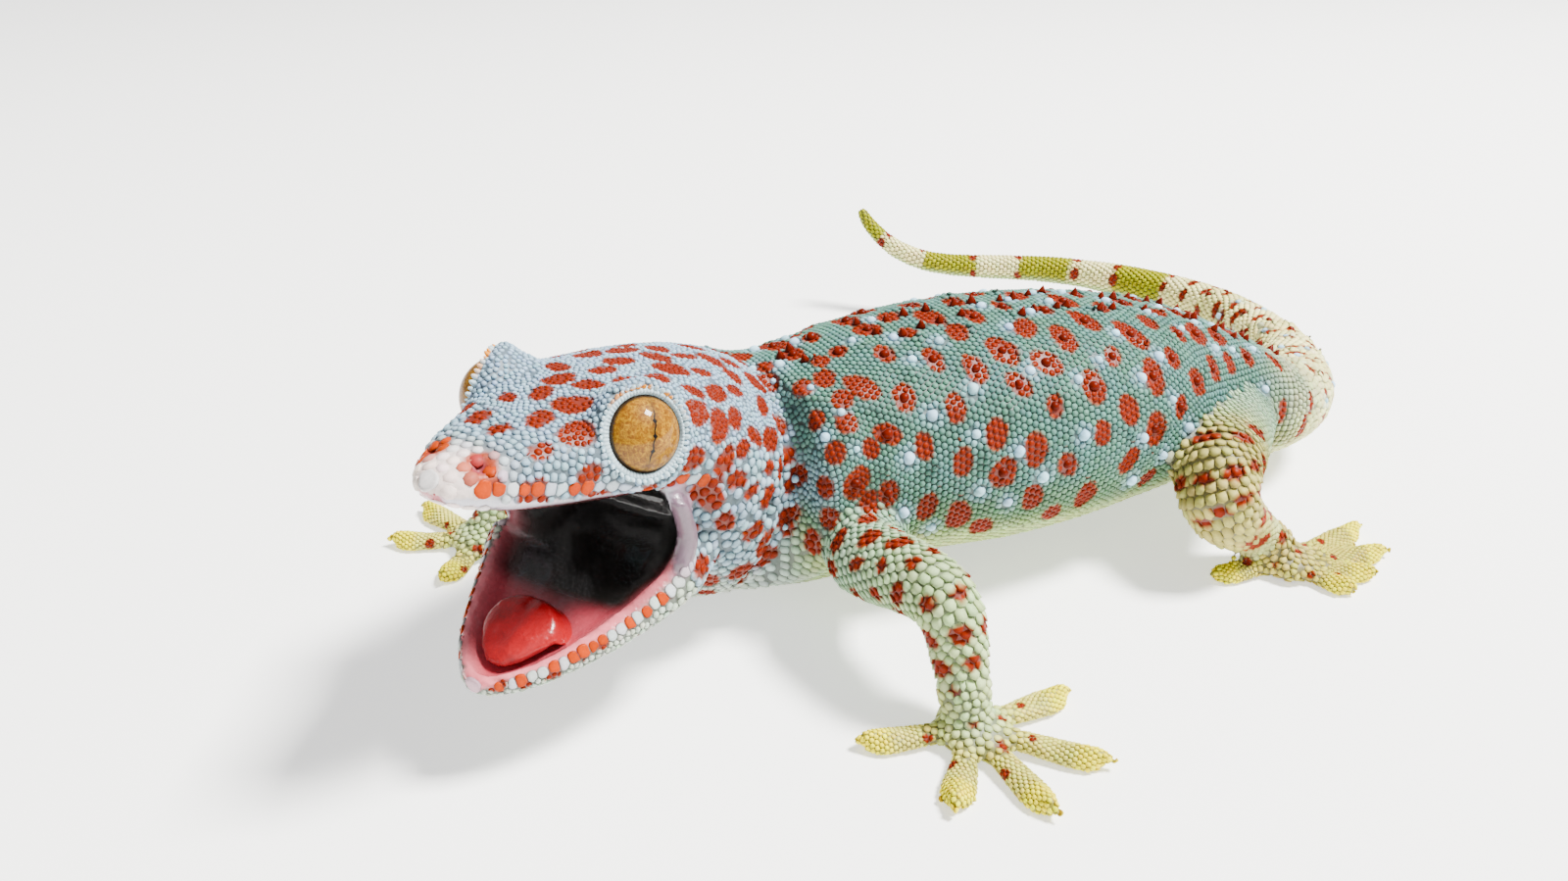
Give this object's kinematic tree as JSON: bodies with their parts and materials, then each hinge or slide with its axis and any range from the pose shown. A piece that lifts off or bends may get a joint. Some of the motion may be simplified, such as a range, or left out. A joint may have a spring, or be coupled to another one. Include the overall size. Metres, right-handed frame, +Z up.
{
  "type": "tokay gecko model",
  "caption": "Life-size still model of a large-headed gecko standing with its mouth open, wide toe pads on the floor and its tail curled beside it.",
  "frame": {"origin": "on the floor, under the middle of the animal's bounding box", "axes": "+Z is up; the body faces -Y, with the head turned to its left, which is +X"},
  "size_m": [0.1408, 0.1536, 0.0406],
  "materials": {
    "skin": "beaded blue-grey skin with orange-red spots",
    "tail_skin": "olive-yellow and cream bands",
    "foot_skin": "yellowish, with small scales",
    "mouth": "wet red flesh",
    "eye": "wet, golden, with a dark slit"
  },
  "bodies": {
    "root": {"head": "skin", "lower_jaw": "skin", "tongue": "mouth", "eye_left": "eye", "eye_right": "eye", "neck": "skin", "torso": "skin", "tail_base": "tail_skin", "tail_middle": "tail_skin", "tail_tip": "tail_skin", "front_leg_left": "skin", "front_leg_right": "skin", "hind_leg_left": "skin", "hind_leg_right": "skin", "front_foot_left": "foot_skin", "front_foot_right": "foot_skin", "hind_foot_left": "foot_skin", "hind_foot_right": "foot_skin"}
  },
  "joints": []
}
